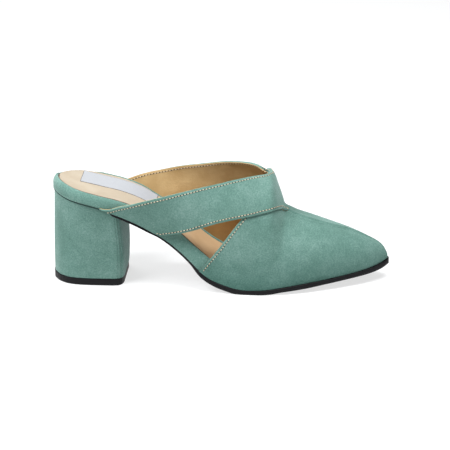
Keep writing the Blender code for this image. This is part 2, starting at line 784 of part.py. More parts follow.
def build_top_piece():
    rings = []
    for share in heel_stations():
        x = float(heel_x(share, 0.0)) + TOP_PIECE_MARGIN * (2 * share - 1)
        half = float(heel_half(share, 0.0)) + TOP_PIECE_MARGIN
        cut = min(EDGE_CHAMFER, half / 2)
        rings.append((
            (x, -half, TOP_PIECE_HEIGHT),
            (x, half, TOP_PIECE_HEIGHT),
            (x, half, EDGE_CHAMFER),
            (x, half - cut, 0.0),
            (x, -half + cut, 0.0),
            (x, -half, EDGE_CHAMFER),
        ))
    return loft("heel_top_piece", rings, BLACK)


def clear_scene():
    for obj in list(bpy.data.objects):
        bpy.data.objects.remove(obj, do_unlink=True)


clear_scene()
build_outsole()
build_heel()
build_top_piece()
build_rand()
build_insole()
build_upper()
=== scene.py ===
"""Looks of the block heel mule, a right shoe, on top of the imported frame.

The tables and the shape functions repeat the CAD's, in millimetres and in shares of the same named
sizes, so that each fine piece lies where its CAD solid is. X runs from the heel to the toe, -Y is the
outer side of the foot, and the floor is Z = 0.
"""

import bmesh
import bpy
import mathutils
import numpy as np
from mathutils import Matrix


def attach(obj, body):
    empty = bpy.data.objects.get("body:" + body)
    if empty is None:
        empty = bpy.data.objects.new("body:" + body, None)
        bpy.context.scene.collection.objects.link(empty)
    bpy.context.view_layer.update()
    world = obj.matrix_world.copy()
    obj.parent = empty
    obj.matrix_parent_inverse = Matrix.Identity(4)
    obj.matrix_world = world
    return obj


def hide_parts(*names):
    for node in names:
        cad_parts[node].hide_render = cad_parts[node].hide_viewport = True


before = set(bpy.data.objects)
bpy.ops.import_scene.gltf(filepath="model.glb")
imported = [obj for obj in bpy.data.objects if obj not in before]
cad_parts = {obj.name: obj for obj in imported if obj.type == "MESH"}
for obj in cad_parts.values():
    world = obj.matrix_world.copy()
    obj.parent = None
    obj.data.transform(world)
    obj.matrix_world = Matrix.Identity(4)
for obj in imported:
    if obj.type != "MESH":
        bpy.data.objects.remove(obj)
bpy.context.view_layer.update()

# Driving sizes
LENGTH = 245.0
HALF_WIDTH = 37.5
SEAT_HEIGHT = 62.0
WALL = 1.9
GAP = 0.3
OVERLAY = 1.6
SEAM_RAISE = 0.5
SOLE_EDGE = 1.0
RAND_WALL = 1.5
RAND_LEAN = 2.0
RAND_LIP = 0.9
RAND_END = 14.0
EDGE_CHAMFER = 0.6
TOP_PIECE_HEIGHT = 5.0
HEEL_BACK = -122.4
HEEL_BREAST = -70.4
THROAT = 36.0
SEAM_START = 48.0
TOE_TIP = 122.3
OUTER_REAR = -14.0
INNER_REAR = -22.0
INNER_CORNER = 5.0
STRAP_END = -85.0
STRAP_LIFT = -46.0

# The line of the insole board seen from above: half widths to the outer and the inner side
BED_LINE = {
    "columns": ("along", "outer", "inner"),
    "rows": (
        (0.0037, 0.000, 0.000),
        (0.0078, 0.176, 0.176),
        (0.0224, 0.368, 0.368),
        (0.0429, 0.528, 0.528),
        (0.0755, 0.677, 0.677),
        (0.1122, 0.747, 0.747),
        (0.1735, 0.773, 0.768),
        (0.2551, 0.755, 0.725),
        (0.3163, 0.736, 0.656),
        (0.3776, 0.741, 0.597),
        (0.4388, 0.789, 0.573),
        (0.5000, 0.864, 0.619),
        (0.5612, 0.923, 0.720),
        (0.6224, 0.933, 0.853),
        (0.6837, 0.885, 0.931),
        (0.7449, 0.779, 0.896),
        (0.8061, 0.624, 0.773),
        (0.8673, 0.437, 0.613),
        (0.9082, 0.293, 0.501),
        (0.9490, 0.115, 0.373),
        (0.9714, -0.011, 0.291),
        (0.9841, -0.091, 0.229),
        (0.9906, -0.160, 0.160),
    ),
}

# Side profile: top and underside of the outsole, and the top of the insole
SOLE_PROFILE = {
    "columns": ("along", "bed", "under", "insole"),
    "rows": (
        (0.0020, 1.1065, 1.0839, 1.2387),
        (0.0510, 1.0597, 1.0379, 1.1912),
        (0.1122, 1.0145, 0.9919, 1.1371),
        (0.1531, 0.9748, 0.9532, 1.1000),
        (0.1939, 0.9160, 0.8935, 1.0629),
        (0.2306, 0.8537, 0.8306, 1.0164),
        (0.2633, 0.7924, 0.7677, 0.9613),
        (0.2959, 0.7199, 0.6952, 0.8889),
        (0.3245, 0.6526, 0.6250, 0.8214),
        (0.3531, 0.5769, 0.5435, 0.7532),
        (0.3857, 0.4677, 0.4323, 0.6645),
        (0.4159, 0.3540, 0.3130, 0.5583),
        (0.4429, 0.2440, 0.1840, 0.4677),
        (0.4673, 0.1730, 0.1160, 0.3887),
        (0.4918, 0.1300, 0.0690, 0.3204),
        (0.5204, 0.0940, 0.0320, 0.2530),
        (0.5490, 0.0664, 0.0048, 0.2022),
        (0.5816, 0.0516, 0.0000, 0.1631),
        (0.6143, 0.0539, 0.0000, 0.1440),
        (0.6469, 0.0631, 0.0073, 0.1388),
        (0.6878, 0.0840, 0.0306, 0.1469),
        (0.7449, 0.1087, 0.0500, 0.1676),
        (0.8184, 0.1326, 0.0790, 0.1967),
        (0.8918, 0.1590, 0.1030, 0.2211),
        (0.9490, 0.1840, 0.1225, 0.2470),
        (0.9816, 0.2110, 0.1440, 0.2742),
        (1.0000, 0.2420, 0.1720, 0.2984),
    ),
}

# Cross sections of the last: ridge height, squareness, and how far each side leans out above its edge
LAST_SECTIONS = {
    "columns": ("along", "ridge", "square", "lean_outer", "lean_inner"),
    "rows": (
        (0.1490, 1.8065, 4.00, 0.107, 0.107),
        (0.1816, 1.8065, 4.00, 0.160, 0.165),
        (0.2143, 1.8065, 4.00, 0.211, 0.224),
        (0.2551, 1.8065, 4.00, 0.243, 0.277),
        (0.2959, 1.7959, 4.00, 0.240, 0.301),
        (0.3367, 1.7742, 4.00, 0.213, 0.320),
        (0.3776, 1.7430, 4.00, 0.184, 0.331),
        (0.4184, 1.7016, 4.00, 0.133, 0.325),
        (0.4592, 1.6547, 3.90, 0.069, 0.309),
        (0.5000, 1.5968, 3.70, 0.035, 0.277),
        (0.5408, 1.5161, 3.40, 0.011, 0.237),
        (0.5816, 1.4339, 3.00, 0.011, 0.176),
        (0.6020, 1.3920, 2.77, 0.011, 0.133),
        (0.6224, 1.3500, 2.60, 0.012, 0.091),
        (0.6347, 1.3260, 2.56, 0.013, 0.071),
        (0.6469, 1.3000, 2.53, 0.014, 0.052),
        (0.6551, 1.2419, 2.52, 0.015, 0.043),
        (0.6633, 1.1435, 2.50, 0.016, 0.037),
        (0.6714, 1.0548, 2.48, 0.018, 0.034),
        (0.6796, 0.9790, 2.46, 0.020, 0.031),
        (0.6878, 0.9160, 2.44, 0.023, 0.029),
        (0.6959, 0.8860, 2.42, 0.026, 0.027),
        (0.7041, 0.8726, 2.40, 0.027, 0.027),
        (0.7286, 0.8274, 2.37, 0.027, 0.026),
        (0.7653, 0.7774, 2.33, 0.026, 0.025),
        (0.8224, 0.6968, 2.30, 0.026, 0.024),
        (0.8837, 0.6145, 2.27, 0.024, 0.023),
        (0.9437, 0.5016, 2.23, 0.022, 0.022),
        (0.9678, 0.4435, 2.22, 0.018, 0.018),
        (0.9857, 0.3823, 2.21, 0.012, 0.012),
        (0.9959, 0.3145, 2.20, 0.009, 0.009),
        (1.0000, 0.2740, 2.20, 0.008, 0.008),
    ),
}

# The line of the instep ridge seen from above, and the seam that meets it towards the toe
RIDGE_LINE = {
    "columns": ("along", "ridge", "seam"),
    "rows": (
        (0.6400, 0.000, 0.000),
        (0.6700, 0.000, -0.080),
        (0.6959, 0.003, -0.160),
        (0.7449, 0.013, -0.160),
        (0.8061, 0.033, -0.093),
        (0.8673, 0.075, 0.013),
        (0.9286, 0.115, 0.090),
        (0.9694, 0.145, 0.140),
        (1.0000, 0.160, 0.160),
    ),
}

# Edges of the straps seen from the side
STRAP_TOP = {
    "columns": ("along", "outer", "inner"),
    "rows": (
        (0.1531, 0.9935, 0.9935),
        (0.1816, 0.9935, 0.9968),
        (0.2143, 1.0242, 1.0355),
        (0.2551, 1.0742, 1.0855),
        (0.2959, 1.1210, 1.1258),
        (0.3367, 1.1613, 1.1661),
        (0.3776, 1.2016, 1.2065),
        (0.4184, 1.2371, 1.2371),
        (0.4592, 1.2694, 1.2694),
        (0.5000, 1.2968, 1.3032),
        (0.5408, 1.3161, 1.3323),
        (0.5816, 1.3242, 1.3500),
        (0.6020, 1.3210, 1.3560),
        (0.6224, 1.3129, 1.3430),
        (0.6347, 1.3081, 1.3200),
    ),
}
STRAP_LOW = {
    "columns": ("along", "outer", "inner"),
    "rows": (
        (0.3286, 0.6629, 0.6629),
        (0.3437, 0.6758, 0.6758),
        (0.3882, 0.7161, 0.7161),
        (0.4469, 0.7871, 0.7871),
        (0.5057, 0.8661, 0.8661),
        (0.5624, 0.9145, 0.9145),
        (0.6049, 0.9403, 0.9403),
        (0.6331, 0.9597, 0.9597),
        (0.6576, 0.9710, 0.9710),
        (0.6694, 0.9548, 0.9548),
        (0.6816, 0.9226, 0.9226),
    ),
}

# Rear edges of the vamp's two halves seen from the side, up to the throat
OUTER_REAR_EDGE = {
    "columns": ("along", "outer"),
    "rows": (
        (0.4608, 0.3435),
        (0.4812, 0.4500),
        (0.5057, 0.5790),
        (0.5278, 0.7032),
        (0.5522, 0.8339),
        (0.5706, 0.9210),
        (0.6020, 1.0726),
        (0.6286, 1.2097),
    ),
}
INNER_REAR_EDGE = {
    "columns": ("along", "inner"),
    "rows": (
        (0.4347, 0.5000),
        (0.4735, 0.6774),
        (0.5204, 0.8597),
        (0.5612, 0.9968),
        (0.5980, 1.1210),
        (0.6265, 1.2258),
    ),
}

# The heel seen from above: share of its length from the back, half widths at the floor and the seat
HEEL_OUTLINE = {
    "columns": ("share", "floor", "seat"),
    "rows": (
        (0.000, 0.010, 0.010),
        (0.010, 0.147, 0.133),
        (0.036, 0.237, 0.237),
        (0.096, 0.381, 0.379),
        (0.150, 0.461, 0.464),
        (0.260, 0.560, 0.597),
        (0.410, 0.608, 0.699),
        (0.620, 0.624, 0.741),
        (0.830, 0.624, 0.752),
        (0.925, 0.608, 0.741),
        (0.965, 0.565, 0.704),
        (0.990, 0.496, 0.640),
        (1.000, 0.400, 0.560),
    ),
}

# The heel's side profile: how far the back and the breast stand forward of their lines at the floor
HEEL_SIDE = {
    "columns": ("height", "back", "breast"),
    "rows": (
        (0.00, 0.0, 0.0),
        (0.16, -0.1, 1.2),
        (0.38, 0.0, 1.6),
        (0.62, 0.4, 0.9),
        (0.80, 0.8, 0.0),
        (1.05, 1.3, -0.3),
    ),
}


def column(table, name):
    return np.array([row[table["columns"].index(name)] for row in table["rows"]], float)


def smooth(x, xs, ys):
    """Monotone cubic through the points (xs, ys)."""
    step = np.diff(xs)
    slope = np.diff(ys) / step
    tangent = np.zeros(len(xs))
    tangent[0] = slope[0]
    tangent[-1] = slope[-1]
    for i in range(1, len(xs) - 1):
        if slope[i - 1] * slope[i] > 0:
            before = 2 * step[i] + step[i - 1]
            after = step[i] + 2 * step[i - 1]
            tangent[i] = (before + after) / (before / slope[i - 1] + after / slope[i])
    x = np.clip(np.asarray(x, float), xs[0], xs[-1])
    i = np.clip(np.searchsorted(xs, x) - 1, 0, len(xs) - 2)
    t = (x - xs[i]) / step[i]
    start = (2 * t**3 - 3 * t**2 + 1) * ys[i] + (t**3 - 2 * t**2 + t) * step[i] * tangent[i]
    end = (3 * t**2 - 2 * t**3) * ys[i + 1] + (t**3 - t**2) * step[i] * tangent[i + 1]
    return start + end


def ease(x, start, end):
    t = np.clip((np.asarray(x, float) - start) / (end - start), 0.0, 1.0)
    return t * t * (3 - 2 * t)


def at_share(along):
    return (np.asarray(along, float) - 0.5) * LENGTH


def share_at(x):
    return np.asarray(x, float) / LENGTH + 0.5


def profile(name, x):
    return SEAT_HEIGHT * smooth(share_at(x), column(SOLE_PROFILE, "along"), column(SOLE_PROFILE, name))


def section(name, x):
    return smooth(share_at(x), column(LAST_SECTIONS, "along"), column(LAST_SECTIONS, name))


def crowded(start, end, count):
    """Values from start to end, closer together towards both ends."""
    return start + (end - start) * (1 - np.cos(np.linspace(0, np.pi, count))) / 2


def bed_loop():
    """Points of the bed line on the outer and the inner side, each from heel to toe."""
    along = column(BED_LINE, "along")
    turn = np.arccos(1 - 2 * (along - along[0]) / (along[-1] - along[0]))
    fine = np.linspace(0, np.pi, 240)
    x = at_share(along[0] + (along[-1] - along[0]) * (1 - np.cos(fine)) / 2)
    outer = -HALF_WIDTH * smooth(fine, turn, column(BED_LINE, "outer"))
    inner = HALF_WIDTH * smooth(fine, turn, column(BED_LINE, "inner"))
    return np.stack([x, outer], 1), np.stack([x, inner], 1)


def grown(by):
    """The bed line moved outwards by by(x): x and y of its outer side, then of its inner side."""
    sides = []
    for line, side in zip(bed_loop(), (-1, 1)):
        run = np.gradient(line, axis=0)
        run[0] = (0, side)
        run[-1] = (0, -side)
        run /= np.linalg.norm(run, axis=1)[:, None]
        out = np.stack([-run[:, 1], run[:, 0]], 1) * side
        sides.append(line + out * np.asarray(by(line[:, 0]))[:, None])
    return sides


def half_width(lines, x, side):
    """Distance from Y = 0 to one of two grown lines, at x."""
    line = lines[0] if side < 0 else lines[1]
    return side * np.interp(x, line[:, 0], line[:, 1])


def under_upper(x):
    """1 where the wall of the upper stands outside the bed line, 0 where only the rand does."""
    strap = ease(x, STRAP_END, STRAP_END + 10) * (1 - ease(x, STRAP_LIFT - 6, STRAP_LIFT + 4))
    return np.maximum(strap, ease(x, OUTER_REAR - 8, OUTER_REAR + 6))


FOOT_LINES = grown(lambda x: np.full_like(x, GAP + WALL))


def ridge_y(name, x):
    return HALF_WIDTH * smooth(share_at(x), column(RIDGE_LINE, "along"), column(RIDGE_LINE, name))


def foot_height(x):
    return profile("bed", x) + GAP


def surface(x, turn):
    """Outer face of the upper. turn is -1 at the outer edge, 0 on the ridge and 1 at the inner edge."""
    x = np.asarray(x, float)
    turn = np.asarray(turn, float)
    side = np.where(turn < 0, -1.0, 1.0)
    share = np.sin((1 - np.abs(turn)) * np.pi / 2)
    foot = foot_height(x)
    height = section("ridge", x) * SEAT_HEIGHT - foot
    centre = ridge_y("ridge", x)
    edge = np.where(side < 0, half_width(FOOT_LINES, x, -1), half_width(FOOT_LINES, x, 1))
    edge = np.maximum(edge - side * centre, 0.02)
    lean = HALF_WIDTH * np.where(side < 0, section("lean_outer", x), section("lean_inner", x))
    reach = edge + lean * (1 - (1 - share) ** 3)
    around = np.sqrt(np.maximum(1 - np.maximum(share, 0.0) ** section("square", x), 0.0))
    return np.stack([x, centre + side * reach * around, foot + height * share], -1)


def outward(x, turn):
    """Unit normals of the surface."""
    step = np.clip((TOE_TIP - x) / 2, 0.002, 0.4)
    tip = 1e-3
    low = np.clip(turn - tip, -1, 1)
    high = np.clip(turn + tip, -1, 1)
    run = surface(np.minimum(x + step, TOE_TIP), turn) - surface(x - step, turn)
    across = surface(x, high) - surface(x, low)
    normal = np.cross(run, across)
    normal /= np.maximum(np.linalg.norm(normal, axis=-1), 1e-9)[..., None]
    normal[x > TOE_TIP - 0.01] = (1.0, 0.0, 0.0)
    return normal


def turn_at_height(x, height, side):
    foot = foot_height(x)
    share = (height - foot) / (section("ridge", x) * SEAT_HEIGHT - foot)
    return side * (1 - np.arcsin(np.clip(share, 0.0, 1.0)) * 2 / np.pi)


def seam_turn(x):
    """Turn of the centre seam at x, found by halving."""
    target = ridge_y("seam", x)
    low = np.full_like(target, -0.6)
    high = np.zeros_like(target)
    for _ in range(40):
        middle = (low + high) / 2
        below = surface(x, middle)[..., 1] < target
        low = np.where(below, middle, low)
        high = np.where(below, high, middle)
    return np.where(x >= TOE_TIP - 0.5, 0.0, (low + high) / 2)


def along_edge(table, side, first, last):
    """Fine points (x, turn) of an edge drawn in a side view, with its two end points given."""
    x = at_share(column(table, "along"))
    height = SEAT_HEIGHT * column(table, "outer" if side < 0 else "inner")
    fine = np.linspace(x[0], x[-1], 60)
    points = np.stack([fine, turn_at_height(fine, smooth(fine, x, height), side)], 1)
    ends = [np.array([end]) for end in (first, last)]
    return np.concatenate([ends[0], points, ends[1]])


def spread(line, shares):
    """Points of a line of (x, turn) at these shares of its length over the surface."""
    solid = surface(line[:, 0], line[:, 1])
    run = np.concatenate([[0], np.cumsum(np.linalg.norm(np.diff(solid, axis=0), axis=1))])
    run /= run[-1]
    return np.stack([np.interp(shares, run, line[:, k]) for k in (0, 1)], 1)


def patch(left, right, low, high, up_shares, along_shares=None):
    """Coons patch of (x, turn): low and high run from left to right, left and right from low to high."""
    u = np.linspace(0, 1, len(low)) if along_shares is None else along_shares
    u = u[:, None, None]
    v = np.asarray(up_shares)[None, :, None]
    rails = (1 - v) * low[:, None] + v * high[:, None]
    ribs = (1 - u) * left[None] + u * right[None]
    corners = (1 - u) * (1 - v) * low[0] + (1 - u) * v * high[0]
    corners = corners + u * (1 - v) * low[-1] + u * v * high[-1]
    return rails + ribs - corners


def travelled(low, high):
    """Share of the way that the middle of low and high has gone along X, point by point."""
    run = low[:, 0] + high[:, 0]
    return (run - run[0]) / (run[-1] - run[0])


def straight(first, last, shares):
    return np.array(first) + (np.array(last) - np.array(first)) * np.asarray(shares)[:, None]


def with_offsets(grid, inner, outer):
    inner = np.broadcast_to(inner, grid.shape[:2])
    outer = np.broadcast_to(outer, grid.shape[:2])
    return np.dstack([grid, inner, outer])


def strap_lines(side):
    """Low and top edge of a strap from its end on the sole to the ridge, as fine points (x, turn)."""
    foot = np.linspace(STRAP_END, STRAP_LIFT, 40)
    low = along_edge(STRAP_LOW, side, (STRAP_LIFT, side), (SEAM_START, 0.0))
    low = np.concatenate([np.stack([foot, np.full(40, side)], 1), low[1:]])
    top = along_edge(STRAP_TOP, side, (STRAP_END, side * 0.985), (THROAT, 0.0))
    return low, top


def inner_corner_height():
    """Height at which the strap's low edge meets the inner half of the vamp."""
    x = at_share(column(STRAP_LOW, "along"))
    return SEAT_HEIGHT * smooth(np.array([INNER_CORNER]), x, column(STRAP_LOW, "inner"))


def rand_path():
    """Points and normals of the bed line, from the rand's outer end round the heel to its inner end."""
    outer, inner = bed_loop()
    path = np.concatenate([outer[::-1], inner[1:]])
    path = path[path[:, 0] < RAND_END]
    run = np.concatenate([[0], np.cumsum(np.linalg.norm(np.diff(path, axis=0), axis=1))])
    stops = np.linspace(0, run[-1], 76)
    path = np.stack([np.interp(stops, run, path[:, k]) for k in (0, 1)], 1)
    tangent = np.gradient(path, axis=0)
    tangent /= np.linalg.norm(tangent, axis=1)[:, None]
    return path, np.stack([tangent[:, 1], -tangent[:, 0]], 1) * -1


def heel_half(x_share, up):
    shares = column(HEEL_OUTLINE, "share")
    floor = HALF_WIDTH * smooth(x_share, shares, column(HEEL_OUTLINE, "floor"))
    seat = HALF_WIDTH * smooth(x_share, shares, column(HEEL_OUTLINE, "seat"))
    return floor + (seat - floor) * up**1.5


def heel_x(share, height):
    heights = SEAT_HEIGHT * column(HEEL_SIDE, "height")
    back = HEEL_BACK + smooth(height, heights, column(HEEL_SIDE, "back"))
    breast = HEEL_BREAST + smooth(height, heights, column(HEEL_SIDE, "breast"))
    return back + (breast - back) * share


# How finely the visible pieces are cut, and how their edges and stitches are made
ACROSS = 24
UP_VAMP = 40
SEAM_POINTS = 90
REAR_ROWS = 12
CORNER_SHARE = 0.28
BEHIND = 46
OUTSIDE = 96
INSIDE = 44
EDGE_ROUND = 0.40
STITCH_IN = 1.9
STITCH_PITCH = 2.2
STITCH_LONG = 1.35
STITCH_WIDE = 0.70

# At the seat the heel's cover reaches up over the sole's edge as far as SEAT_END, the rand is puffed,
# and the far side of the seat stands a little higher
SEAT_COVER = 1.75
SEAT_END = -77.0
FAR_RISE = 1.1
BAND_PUFF = 0.55

# The two seam grooves of the heel: share of its length from the back, and depth in mm
HEEL_GROOVES = ((0.958, 0.75), (0.925, 0.45))
HEEL_GROOVE_WIDE = 0.008

# The plain label patch on the insole: from and to in mm along X and Y
PATCH_X = (-102.0, -48.0)
PATCH_Y = (-0.5, 21.0)

# Camera, in degrees and metres, and lamps: place and size in metres, power in watts
CAMERA_AZIMUTH = 3.0
CAMERA_ELEVATION = 19.5
CAMERA_DISTANCE = 1.15
CAMERA_LENS = 126.0
CAMERA_TARGET = (0.003, 0.0, 0.040)
LAMPS = {
    "columns": ("name", "place", "size", "power"),
    "rows": (
        ("key", (-0.70, -0.50, 1.00), 0.6, 15.0),
        ("top", (0.25, -0.25, 1.20), 0.6, 17.0),
        ("rear", (-0.60, 0.70, 0.80), 0.8, 6.0),
    ),
}

# Soft creases of the suede: ends in mm along X and in turns round the last, width and height in mm
CREASES = {
    "columns": ("x", "turn", "to_x", "to_turn", "width", "height"),
    "rows": (
        (52, -0.24, 74, -0.52, 6.0, -0.20),
        (64, -0.16, 92, -0.34, 7.0, 0.40),
        (30, -0.62, 60, -0.70, 8.0, -0.20),
        (78, -0.50, 100, -0.44, 6.0, -0.35),
        (8, -0.72, 30, -0.88, 7.0, 0.35),
        (96, -0.30, 110, -0.52, 5.0, 0.25),
        (52, 0.24, 76, 0.50, 6.0, -0.45),
        (66, 0.20, 94, 0.36, 7.0, 0.40),
        (26, 0.66, 58, 0.74, 8.0, -0.40),
        (-30, -0.45, -8, -0.60, 6.0, -0.30),
        (10, -0.42, 28, -0.50, 5.0, 0.25),
        (-2, 0.36, 16, 0.28, 3.5, -0.50),
        (4, 0.44, 24, 0.34, 3.0, 0.40),
        (-44, 0.62, -20, 0.52, 5.0, -0.35),
    ),
}


def creased(x, turn):
    """Height of the soft troughs and ridges at these points of the upper."""
    total = np.zeros(np.shape(x))
    for x0, turn0, x1, turn1, width, height in CREASES["rows"]:
        start = np.array([x0, turn0 * 45.0])
        along = np.array([x1, turn1 * 45.0]) - start
        off = np.stack([x - start[0], turn * 45.0 - start[1]], -1)
        share = np.clip(off @ along / (along @ along), 0, 1)
        gap = np.linalg.norm(off - share[..., None] * along, axis=-1)
        total += height * np.exp(-((gap / width) ** 2)) * (0.35 + 0.65 * np.sin(np.pi * share) ** 2)
    return total


def seam_rows():
    body = np.linspace(0, 0.90, UP_VAMP - 7) ** 0.94
    return np.concatenate([body, (0.925, 0.945, 0.962, 0.976, 0.987, 0.995, 1.0)])


def seam_bead(shares):
    """The two soft ridges with a groove between them where the halves of the vamp meet."""
    ridge = 1.25 * np.exp(-(((shares - 0.972) / 0.014) ** 2))
    groove = 0.9 * np.exp(-(((shares - 1.0) / 0.008) ** 2))
    return SEAM_RAISE * (ridge - groove)


def tapered(line):
    """A strap's top edge brought down to a point at its end on the sole."""
    share = 0.12 + 0.88 * ease(line[:, 0], STRAP_END, STRAP_END + 13) ** 0.8
    return np.stack([line[:, 0], np.sign(line[:, 1]) * (1 - (1 - np.abs(line[:, 1])) * share)], 1)


def upper_patches():
    """Fine grids of (x, turn, inner offset, outer offset): the vamp's halves and the under strap."""
    crest_x = np.linspace(THROAT, SEAM_START, ACROSS + 1)
    crest = np.stack([crest_x, seam_turn(crest_x)], 1)
    crest[0, 1] = 0.0
    seam_x = np.linspace(SEAM_START, TOE_TIP, 300)
    seam_shares = 1 - (1 - np.linspace(0, 1, SEAM_POINTS)) ** 1.35
    seam = spread(np.stack([seam_x, seam_turn(seam_x)], 1), seam_shares)
    rise = seam_rows()

    rear = along_edge(OUTER_REAR_EDGE, -1, (OUTER_REAR, -1.0), (THROAT, 0.0))
    top = np.concatenate([crest, seam[1:]])
    foot = np.stack([np.linspace(OUTER_REAR, TOE_TIP, 400), np.full(400, -1.0)], 1)
    foot = spread(foot, 1 - (1 - np.linspace(0, 1, len(top))) ** 1.4)
    right = straight(foot[-1], top[-1], rise)
    outer_half = patch(spread(rear, rise), right, foot, top, rise, travelled(foot, top))

    low, high = strap_lines(1)
    high = tapered(high)
    corner = (INNER_CORNER, float(turn_at_height(np.array([INNER_CORNER]), inner_corner_height(), 1)[0]))
    low = low[low[:, 0] < SEAM_START - 0.5]
    low = np.concatenate([low, crest[-1:]])
    front = np.concatenate([[corner], low[low[:, 0] > INNER_CORNER]])
    back = np.concatenate([low[low[:, 0] < INNER_CORNER], [corner]])
    meeting = seam_rows()[8:]
    meeting = (meeting - meeting[0]) / (1 - meeting[0])
    shared = spread(front, meeting)
    behind = spread(back, np.linspace(0, 1, BEHIND))
    strap_low = np.concatenate([behind, shared[1:]])
    strap_high = spread(high, np.linspace(0, 1, len(strap_low)))
    ramp = np.linspace(0, 1, ACROSS + 1)
    strap_rear = straight(strap_low[0], strap_high[0], ramp)
    under_strap = patch(strap_rear, crest[::-1], strap_low, strap_high, ramp)

    rear = along_edge(INNER_REAR_EDGE, 1, (INNER_REAR, 1.0), (THROAT, 0.0))
    rear = np.concatenate([rear[rear[:, 0] < INNER_CORNER], [corner]])
    left = np.concatenate([spread(rear, np.linspace(0, 1, REAR_ROWS + 1)), shared[1:]])
    below = np.linspace(0, CORNER_SHARE, REAR_ROWS + 1)[:-1]
    rise_in = np.concatenate([below, CORNER_SHARE + (1 - CORNER_SHARE) * meeting])
    foot = np.stack([np.linspace(INNER_REAR, TOE_TIP, 400), np.full(400, 1.0)], 1)
    foot = spread(foot, 1 - (1 - np.linspace(0, 1, len(seam))) ** 1.4)
    right = straight(foot[-1], seam[-1], rise_in)
    inner_half = patch(left, right, foot, seam, rise_in, travelled(foot, seam))

    raised = []
    for grid, shares, fade in ((outer_half, rise, ACROSS), (inner_half, rise_in, 0)):
        strength = ease(np.arange(len(grid)), fade, fade + 4) * ease(TOE_TIP - grid[:, -1, 0], 0.0, 8.0)
        raised.append(with_offsets(grid, -WALL, strength[:, None] * seam_bead(shares)[None]))
    return raised[0], with_offsets(under_strap, -WALL, 0.0), raised[1]


def over_patch():
    """Fine grid of the strap that passes over the other and runs out into the inner half of the vamp."""
    low, high = strap_lines(-1)
    high = tapered(high)
    low = low[low[:, 0] < SEAM_START - 3.0]
    start = (SEAM_START + 0.6, float(seam_turn(np.array([SEAM_START + 0.6]))[0]))
    low = np.concatenate([low, [start]])
    rear = along_edge(INNER_REAR_EDGE, 1, (INNER_REAR, 1.0), (THROAT, 0.0))[::-1]
    rear = rear[(rear[:, 0] > INNER_CORNER - 3.0) & (rear[:, 0] < THROAT)] + (0.3, 0.0)
    hidden = strap_lines(1)[0][::-1]
    hidden = hidden[(hidden[:, 0] > INNER_CORNER + 4) & (hidden[:, 0] < SEAM_START - 4)]
    hidden = hidden + np.stack([ease(-hidden[:, 0], -44, -30) * 2.0, np.full(len(hidden), 0.07)], 1)
    hidden = np.concatenate([[start, (SEAM_START + 1.6, 0.06)], hidden])
    before = 1 - (1 - np.linspace(0, 1, OUTSIDE)) ** 1.4
    after = np.linspace(0, 1, INSIDE) ** 1.4
    low_points = np.concatenate([spread(low, before), spread(hidden, after)[1:]])
    beyond = spread(np.concatenate([high[-1:], rear]), after)
    high_points = np.concatenate([spread(high, before), beyond[1:]])
    ramp = np.linspace(0, 1, ACROSS + 1)
    first = straight(low_points[0], high_points[0], ramp)
    grid = patch(first, straight(low_points[-1], high_points[-1], ramp), low_points, high_points, ramp)
    step = np.arange(len(grid)) - OUTSIDE + 1
    past = ease(step, 0, 6)[:, None] * (1 - ease(ramp, 0.0, 0.5))[None]
    last = ease(step, 0.55 * INSIDE, INSIDE - 2)[:, None]
    merged = np.maximum(past, last)
    lift = OVERLAY * np.where(grid[..., 1] < 0, ease(grid[..., 0], -10, 12), 1.0)
    outer = lift * (1 - merged) - 0.35 * merged
    return with_offsets(grid, np.maximum(outer - WALL, -WALL), outer)


def placed(grid):
    """Outer points, inner points and normals of a grid of (x, turn, inner offset, outer offset)."""
    flat = grid.reshape(-1, 4)
    base = surface(flat[:, 0], flat[:, 1])
    normal = outward(flat[:, 0], flat[:, 1])
    crease = creased(flat[:, 0], flat[:, 1])[:, None] * ease(1 - np.abs(flat[:, 1]), 0.0, 0.2)[:, None]
    shape = grid.shape[:2] + (3,)
    outer = (base + normal * (flat[:, 3:4] + crease)).reshape(shape)
    inner = (base + normal * (flat[:, 2:3] + crease)).reshape(shape)
    return outer, inner, normal.reshape(shape)


def mesh_piece(name, points, faces, materials, slots=None, smooth_angle=50.0):
    """One object from points in millimetres, with coincident points merged and normals outwards."""
    mesh = bpy.data.meshes.new(name)
    mesh.from_pydata((np.asarray(points) / 1000).tolist(), [], faces)
    for look in materials:
        mesh.materials.append(look)
    if slots is not None:
        mesh.polygons.foreach_set("material_index", np.asarray(slots, np.int32))
    made = bmesh.new()
    made.from_mesh(mesh)
    bmesh.ops.remove_doubles(made, verts=made.verts, dist=2e-6)
    bmesh.ops.recalc_face_normals(made, faces=made.faces)
    made.to_mesh(mesh)
    made.free()
    mesh.shade_smooth()
    mesh.set_sharp_from_angle(angle=np.radians(smooth_angle))
    obj = bpy.data.objects.new(name, mesh)
    bpy.context.scene.collection.objects.link(obj)
    return obj


def ride(obj, slot, *nodes):
    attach(obj, "root")
    if nodes:
        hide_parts(*nodes)
    return obj


